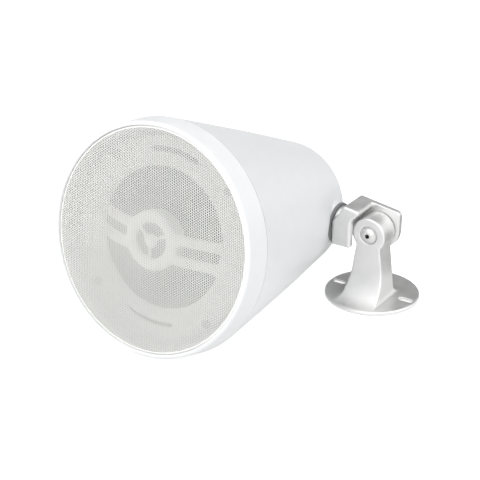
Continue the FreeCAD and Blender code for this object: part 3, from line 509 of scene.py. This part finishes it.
@dataclass
class PerforatedField:
    """Geometry node tree that lays tiles out in a triangular grid over half a disc.

    The nudge keeps the tiles on the middle line in one half. Corners closer together than the
    merge become one. Both are shares of the pitch.
    """

    nudge: float = 0.05
    merge: float = 0.02

    def build(self) -> bpy.types.NodeTree:
        """Builds the tree.

        Returns:
            The geometry node tree.
        """
        tree = bpy.data.node_groups.new("perforated_field", "GeometryNodeTree")
        face = tree.interface
        face.new_socket("Geometry", in_out="OUTPUT", socket_type="NodeSocketGeometry")
        for name, kind in (("Pitch", "Float"), ("Field Radius", "Float"), ("Side", "Float"),
                           ("Row Turn", "Float"), ("Recess", "Float"), ("Cell", "Object"),
                           ("Finish", "Material"), ("Place", "Vector"), ("Turn", "Rotation"),
                           ("Count", "Int")):
            face.new_socket(name, in_out="INPUT", socket_type="NodeSocket" + kind)
        wiring = Wiring(tree)
        given = wiring.add("NodeGroupInput").outputs
        points = self.half(wiring, given, self.rows(wiring, given))
        placed = self.placed(wiring, given, self.tiles(wiring, given, points))
        coat = wiring.add("GeometryNodeSetMaterial", {
            "Geometry": placed, "Material": given["Finish"]})
        wiring.add("NodeGroupOutput", {0: coat.outputs[0]})
        return tree

    def rows(self, wiring: Wiring, given: bpy.types.NodeOutputs) -> Socket:
        """Lays out the points, every other row shifted by half the pitch.

        Args:
            wiring: The tree.
            given: The tree's inputs.

        Returns:
            The socket of the points.
        """
        span = wiring.number("SUBTRACT", given["Count"], 1)
        row_step = wiring.number("MULTIPLY", given["Pitch"], ROW_STEP)
        grid = wiring.add("GeometryNodeMeshGrid", {
            "Size X": wiring.number("MULTIPLY", span, given["Pitch"]),
            "Size Y": wiring.number("MULTIPLY", span, row_step),
            "Vertices X": given["Count"], "Vertices Y": given["Count"]})
        spot = wiring.add("GeometryNodeInputPosition").outputs[0]
        parts = wiring.add("ShaderNodeSeparateXYZ", {0: spot})
        row = wiring.number("ROUND", wiring.number("DIVIDE", parts.outputs["Y"], row_step))
        half_shift = wiring.number("MULTIPLY", wiring.number("FLOORED_MODULO", row, 2), 0.5)
        shift = wiring.add("ShaderNodeCombineXYZ", {
            "X": wiring.number("MULTIPLY", half_shift, given["Pitch"])})
        moved = wiring.add("GeometryNodeSetPosition", {
            "Geometry": grid.outputs["Mesh"], "Offset": shift.outputs[0]})
        return moved.outputs[0]

    def half(self, wiring: Wiring, given: bpy.types.NodeOutputs, points: Socket) -> Socket:
        """Drops the points outside the disc or on its other side.

        Args:
            wiring: The tree.
            given: The tree's inputs.
            points: Socket of the points.

        Returns:
            The socket of the points that are left.
        """
        spot = wiring.add("GeometryNodeInputPosition").outputs[0]
        length = wiring.add("ShaderNodeVectorMath", {0: spot}, operation="LENGTH")
        outside = wiring.number("GREATER_THAN", length.outputs["Value"], given["Field Radius"])
        parts = wiring.add("ShaderNodeSeparateXYZ", {0: spot})
        nudge = wiring.number("MULTIPLY", given["Pitch"], self.nudge)
        nudged = wiring.number("ADD", parts.outputs["X"], nudge)
        other = wiring.number("LESS_THAN", wiring.number("MULTIPLY", nudged, given["Side"]), 0)
        left = wiring.add("GeometryNodeDeleteGeometry", {
            "Geometry": points, "Selection": wiring.number("MAXIMUM", outside, other),
        }, domain="POINT")
        return left.outputs[0]

    def tiles(self, wiring: Wiring, given: bpy.types.NodeOutputs, points: Socket) -> Socket:
        """Puts a tile on each point and joins the tiles to one sheet.

        Args:
            wiring: The tree.
            given: The tree's inputs.
            points: Socket of the points.

        Returns:
            The socket of the sheet, flat and face up.
        """
        source = wiring.add("GeometryNodeObjectInfo", {"Object": given["Cell"]})
        spread = wiring.add("GeometryNodeInstanceOnPoints", {
            "Points": points, "Instance": source.outputs["Geometry"]})
        real = wiring.add("GeometryNodeRealizeInstances", {0: spread.outputs[0]})
        merged = wiring.add("GeometryNodeMergeByDistance", {
            "Geometry": real.outputs[0],
            "Distance": wiring.number("MULTIPLY", given["Pitch"], self.merge)})
        return merged.outputs[0]

    def placed(self, wiring: Wiring, given: bpy.types.NodeOutputs, sheet: Socket) -> Socket:
        """Turns the rows, stands the sheet up and moves it into the assembly's frame.

        Args:
            wiring: The tree.
            given: The tree's inputs.
            sheet: Socket of the flat sheet.

        Returns:
            The socket of the sheet in its place.
        """
        about = wiring.add("ShaderNodeCombineXYZ", {"Z": given["Row Turn"]})
        angle = wiring.add("FunctionNodeEulerToRotation", {0: about.outputs[0]})
        turned = wiring.add("GeometryNodeTransform", {
            "Geometry": sheet, "Rotation": angle.outputs[0]})
        lean = wiring.add("FunctionNodeEulerToRotation", {0: (math.pi / 2, 0.0, 0.0)})
        back = wiring.add("ShaderNodeCombineXYZ", {"Y": given["Recess"]})
        raised = wiring.add("GeometryNodeTransform", {
            "Geometry": turned.outputs[0], "Rotation": lean.outputs[0],
            "Translation": back.outputs[0]})
        placed = wiring.add("GeometryNodeTransform", {
            "Geometry": raised.outputs[0], "Translation": given["Place"],
            "Rotation": given["Turn"]})
        return placed.outputs[0]


@dataclass
class Grille:
    """Pressed sheet with thousands of fine six-sided holes, and its plain turned-back edge.

    The grid margin is the reach of the grid as a multiple of the field's radius. The rim
    tolerance is how far a corner at the back may be out of line with the one at the front, as
    a share of the sheet's thickness.
    """

    axes: Matrix
    pitch: float = 0.0021
    hole_radius: float = 0.00102
    sheet: float = 0.0014
    recess: float = 0.0018
    skirt: float = 0.0050
    radius: float = 0.09645
    corner: float = 0.0016
    field_radius: float = 0.0956
    border: float = 0.0003
    border_sink: float = 0.00003
    row_turn: float = math.radians(36)
    edge_steps: int = 240
    outer_corner_steps: int = 6
    inner_corner_steps: int = 4
    grid_margin: float = 1.2
    rim_tolerance: float = 0.05

    def build(self) -> None:
        """Builds the two halves of the field and the edge."""
        cell = self.cell()
        tree = PerforatedField().build()
        for name, side in (("grille_field_left", -1.0), ("grille_field_right", 1.0)):
            mesh = self.field(tree, cell, name, side)
            add_piece(name, mesh, Body.SPEAKER, "white_mesh", "grille")
        bpy.data.objects.remove(cell)
        add_piece("grille_edge", self.edge(), Body.SPEAKER, "white_mesh", "grille")

    def cell(self) -> bpy.types.Object:
        """Makes one tile of the sheet with its hole, front face up.

        Returns:
            The object of the tile, which isn't in the scene.
        """
        form = bmesh.new()
        tile_radius = self.pitch / math.sqrt(3)
        rings = []
        for radius, height in ((tile_radius, 0.0), (self.hole_radius, 0.0),
                               (self.hole_radius, -self.sheet), (tile_radius, -self.sheet)):
            rings.append([form.verts.new((radius * math.cos(a), radius * math.sin(a), height))
                          for a in HEXAGON])
        for outer, inner in zip(rings, rings[1:]):
            for k in range(len(HEXAGON)):
                after = (k + 1) % len(HEXAGON)
                form.faces.new((outer[k], outer[after], inner[after], inner[k]))
        return bpy.data.objects.new("grille_cell", as_mesh(form, "grille_cell"))

    def field(self, tree: bpy.types.NodeTree, cell: bpy.types.Object, name: str,
              side: float) -> bpy.types.Mesh:
        """Lays out the tiles of one half of the field.

        Args:
            tree: Node tree of the field.
            cell: Object of one tile.
            name: Name of the mesh.
            side: 1 for the right half, -1 for the left half.

        Returns:
            The mesh of the half, in the assembly's frame.
        """
        piece = put_in_scene(name, bpy.data.meshes.new(name))
        layer = piece.modifiers.new("perforations", "NODES")
        layer.node_group = tree
        values = {
            "Pitch": self.pitch, "Field Radius": self.field_radius, "Side": side,
            "Row Turn": self.row_turn, "Recess": self.recess, "Cell": cell,
            "Finish": MESH_PAINT.material(), "Place": self.axes.translation,
            "Turn": self.axes.to_euler(),
            "Count": 2 * int(self.field_radius * self.grid_margin / self.pitch) + 1,
        }
        for socket in tree.interface.items_tree:
            if socket.in_out == "INPUT":
                layer[socket.identifier] = values[socket.name]
        mesh = settled(piece, name)
        self.close_rim(mesh)
        return mesh

    def close_rim(self, mesh: bpy.types.Mesh) -> None:
        """Joins the front and the back of the sheet along the open rim of a half.

        Args:
            mesh: Mesh of the half, changed in place.
        """
        form = bmesh.new()
        form.from_mesh(mesh)
        through = self.axes.to_3x3() @ Vector((0, self.sheet, 0))
        reach = self.sheet * self.rim_tolerance
        spots = KDTree(len(form.verts))
        for vertex in form.verts:
            spots.insert(vertex.co, vertex.index)
        spots.balance()
        form.verts.ensure_lookup_table()
        for edge in [edge for edge in form.edges if edge.is_boundary]:
            loop = edge.link_loops[0]
            front = (loop.link_loop_next.vert, loop.vert)
            found = [spots.find(vertex.co + through) for vertex in front]
            if all(distance < reach for _, _, distance in found):
                back = [form.verts[index] for _, index, _ in found]
                form.faces.new((*front, *reversed(back)))
        form.to_mesh(mesh)
        form.free()

    def edge(self) -> bpy.types.Mesh:
        """Turns the plain border and skirt of the sheet.

        Returns:
            The mesh of the edge, in the assembly's frame.
        """
        front = self.recess + self.border_sink
        rear = self.recess + self.skirt
        inner = self.radius - self.corner - self.border
        wall = self.radius - self.sheet
        outer_corner = arc(self.radius - self.corner, front + self.corner, self.corner,
                           -90, 0, self.outer_corner_steps)
        inner_corner = arc(wall - self.corner + self.sheet, front + self.corner,
                           self.corner - self.sheet, 0, -90, self.inner_corner_steps)
        profile = [(inner, front), *outer_corner, (self.radius, rear), (wall, rear),
                   *inner_corner, (inner, front + self.sheet)]
        return turned_ring("grille_edge", profile, self.edge_steps, self.axes, MESH_PAINT)


@dataclass
class Housing:
    """White conical shell with its front ring and cable inlet bush."""

    def build(self) -> None:
        """Dresses the shell, the front ring and the bush."""
        for node in ("rear_housing", "front_bezel"):
            dress(node, SHELL_PAINT)
        dress("cable_grommet", DARK_RUBBER)


@dataclass
class Driver:
    """Coaxial driver and crossover inside the housing."""

    def build(self) -> None:
        """Dresses every piece of the driver and the crossover."""
        finishes = {
            "tweeter_bridge": TRIM_PLASTIC, "tweeter_diaphragm": SILK,
            "tweeter_cup": PLATED_STEEL, "tweeter_magnet": FERRITE,
            "surround": DARK_RUBBER, "woofer_cone": CONE_PULP, "dust_cap": CONE_PULP,
            "voice_coil": COPPER, "spider": DAMPER_CLOTH, "basket": BLACK_STEEL,
            "driver_gasket": FOAM, "top_plate": PLATED_STEEL, "magnet": FERRITE,
            "yoke": PLATED_STEEL, "driver_screws": DARK_ZINC, "crossover_board": BOARD,
            "board_screws": PLATED_STEEL, "crossover_capacitor": YELLOW_FILM,
            "terminal_block": GREEN_PLASTIC,
        }
        for node, finish in finishes.items():
            dress(node, finish)


@dataclass
class Bracket:
    """Die-cast foot and arm with softened edges, the rubber pad and the pivot fasteners."""

    seam: float = 1e-6
    voxel: float = 0.0008
    soften_share: float = 0.5
    soften_steps: int = 3

    def build(self) -> None:
        """Builds the castings and dresses the pad and the fasteners."""
        self.casting("foot_casting", "foot", Body.FOOT)
        self.casting("arm_casting", "arm", Body.ARM)
        # The pad's dark grey is partly painted shade of the gap between the arm and the housing.
        dress("swivel_pad", PAD_RUBBER_AND_SHADE)
        dress("tilt_bolt", ZINC_WITH_SOCKET_SHADE)
        for node in ("tilt_washer", "tilt_rear_washer", "tilt_nut", "swivel_bolt",
                     "swivel_washer", "swivel_nut", "backing_plate"):
            dress(node, SATIN_ZINC)

    def casting(self, name: str, node: str, body: Body) -> None:
        """Makes a casting with soft edges from its solid.

        Args:
            name: Name of the piece.
            node: Solid that it stands for.
            body: Body that it moves with.
        """
        form = bmesh.new()
        form.from_mesh(frame["nodes"][node].data)
        bmesh.ops.remove_doubles(form, verts=form.verts, dist=self.seam)
        piece = put_in_scene(name, as_mesh(form, name))
        skin = piece.modifiers.new("skin", "REMESH")
        skin.mode = "VOXEL"
        skin.voxel_size = self.voxel
        skin.use_smooth_shade = True
        soft = piece.modifiers.new("soft_edges", "SMOOTH")
        soft.factor = self.soften_share
        soft.iterations = self.soften_steps
        mesh = settled(piece, name)
        mesh.materials.clear()
        mesh.materials.append(CAST_PAINT.material())
        mesh.shade_smooth()
        add_piece(name, mesh, body, "grey_casting", node)


@dataclass(frozen=True)
class Card:
    """Grey card of the studio that only reflections show, facing its aim."""

    name: str
    place: Triple
    aim: Triple
    width: float
    height: float
    shade: float


@dataclass(frozen=True)
class Lamp:
    """Soft square lamp, with its side in metres and its power in watts."""

    name: str
    place: Triple
    side: float
    power: float


CARDS = (
    Card("dark_card", place=(-0.45, 1.3, 0.85), aim=(0.0, 0.0, 0.06),
         width=2.6, height=1.5, shade=0.1),
    Card("floor_card", place=(0.40, 0.45, 0.004), aim=(0.40, 0.45, 1.0),
         width=0.9, height=0.8, shade=0.25),
)
LAMPS = (
    Lamp("key_light", place=(0.2, -1.7, 1.0), side=2.0, power=17.0),
    Lamp("side_light", place=(1.2, 0.2, 1.3), side=1.4, power=10.5),
    Lamp("left_light", place=(-1.2, -1.2, 1.0), side=1.4, power=8.0),
    Lamp("top_light", place=(-0.5, -0.4, 1.9), side=1.2, power=6.0),
)


@dataclass
class Studio:
    """Pale floor, white surroundings, grey cards, soft lamps and the camera.

    The glow of the floor and of the sky is what they add where they are looked at, straight or
    in a gloss. The sky's light is what falls on the object.
    """

    floor_half: float = 6.0
    floor_shade: float = 0.75
    floor_glow: float = 0.7
    floor_gloss_glow: float = 0.35
    sky_light: float = 0.61
    sky_glow: float = 0.39
    lamp_aim: Triple = (-0.08, -0.08, 0.1)
    camera_place: Triple = (0.4333, -0.8910, 0.5130)
    camera_turn: Triple = (65.103, 0.0, 33.240)
    lens: float = 86.86
    sensor_width: float = 36.0
    nearest: float = 0.01
    farthest: float = 100.0

    def build(self) -> None:
        """Builds the floor, the world, the cards, the lamps and the camera."""
        self.floor()
        self.world()
        for card in CARDS:
            self.card(card)
        for lamp in LAMPS:
            self.lamp(lamp)
        self.camera()

    def floor(self) -> None:
        """Lays a pale floor that keeps the object's shadow."""
        half = self.floor_half
        corners = [(-half, -half, 0), (half, -half, 0), (half, half, 0), (-half, half, 0)]
        paint = self.matt("pale_floor", self.floor_shade)
        shader = paint.node_tree.nodes["Principled BSDF"]
        shader.inputs["Emission Color"].default_value = WHITE
        wiring = Wiring(paint.node_tree)
        glow = self.seen(wiring, self.floor_glow, self.floor_gloss_glow)
        wiring.feed(shader.inputs["Emission Strength"], glow)
        self.face("floor", corners, paint)

    def card(self, given: Card) -> None:
        """Stands a grey card beside the object.

        Args:
            given: The card.
        """
        half, rise = given.width / 2, given.height / 2
        corners = [(-half, 0, -rise), (half, 0, -rise), (half, 0, rise), (-half, 0, rise)]
        card = self.face(given.name, corners, self.matt(given.name, given.shade))
        facing = Vector(given.aim) - Vector(given.place)
        card.location = given.place
        card.rotation_euler = facing.to_track_quat("-Y", "Z").to_euler()
        card.visible_camera = False
        card.visible_diffuse = False
        card.visible_shadow = False

    def face(self, name: str, corners: list[Triple],
             paint: bpy.types.Material) -> bpy.types.Object:
        """Puts one flat face in the scene.

        Args:
            name: Name of the object.
            corners: Its four corners.
            paint: Its material.

        Returns:
            The object.
        """
        mesh = bpy.data.meshes.new(name)
        mesh.from_pydata(corners, [], [(0, 1, 2, 3)])
        mesh.materials.append(paint)
        return put_in_scene(name, mesh)

    def matt(self, name: str, shade: float) -> bpy.types.Material:
        """Makes a plain matt grey for the studio.

        Args:
            name: Name of the material.
            shade: Grey level.

        Returns:
            The material.
        """
        made = bpy.data.materials.new(name)
        made.use_nodes = True
        shader = made.node_tree.nodes["Principled BSDF"]
        shader.inputs["Base Color"].default_value = (shade, shade, shade, 1.0)
        shader.inputs["Roughness"].default_value = 1.0
        return made

    def seen(self, wiring: Wiring, straight: float, glossed: float) -> Socket:
        """Makes a strength that counts only for what is looked at, straight or in a gloss.

        Args:
            wiring: Node tree to add the nodes to.
            straight: The strength for what the camera sees itself or through something clear.
            glossed: The strength for what is seen in a gloss.

        Returns:
            The socket of the strength.
        """
        path = wiring.add("ShaderNodeLightPath").outputs
        clear = wiring.number("MAXIMUM", path["Is Camera Ray"], path["Is Transmission Ray"])
        gloss = wiring.number("MULTIPLY", path["Is Glossy Ray"], glossed)
        return wiring.number("MULTIPLY_ADD", clear, straight, gloss)

    def world(self) -> None:
        """Sets white surroundings that light the object at a lower level."""
        made = bpy.data.worlds.new("white_studio")
        bpy.context.scene.world = made
        made.use_nodes = True
        wiring = Wiring(made.node_tree)
        sky = made.node_tree.nodes["Background"]
        sky.inputs["Color"].default_value = WHITE
        glow = self.seen(wiring, self.sky_glow, self.sky_glow)
        wiring.feed(sky.inputs["Strength"], wiring.number("ADD", glow, self.sky_light))

    def lamp(self, given: Lamp) -> None:
        """Hangs a soft square lamp that points at the object.

        Args:
            given: The lamp.
        """
        light = bpy.data.lights.new(given.name, "AREA")
        light.shape = "SQUARE"
        light.size = given.side
        light.energy = given.power
        lamp = put_in_scene(given.name, light)
        facing = Vector(self.lamp_aim) - Vector(given.place)
        lamp.location = given.place
        lamp.rotation_euler = facing.to_track_quat("-Z", "Y").to_euler()

    def camera(self) -> None:
        """Sets the camera at the photograph's viewing angle."""
        view = bpy.data.cameras.new("camera")
        view.lens = self.lens
        view.sensor_width = self.sensor_width
        view.clip_start = self.nearest
        view.clip_end = self.farthest
        camera = put_in_scene("camera", view)
        camera.location = self.camera_place
        camera.rotation_euler = tuple(math.radians(a) for a in self.camera_turn)
        bpy.context.scene.camera = camera


def main() -> None:
    """Builds the sub-assemblies in order, then the studio."""
    logging.basicConfig(level=logging.INFO, format="%(name)s: %(message)s")
    bpy.context.scene.view_settings.view_transform = "Standard"
    axes = SpeakerAxes().matrix()
    Housing().build()
    Grille(axes).build()
    Driver().build()
    Bracket().build()
    Studio().build()


if __name__ == "__main__":
    main()
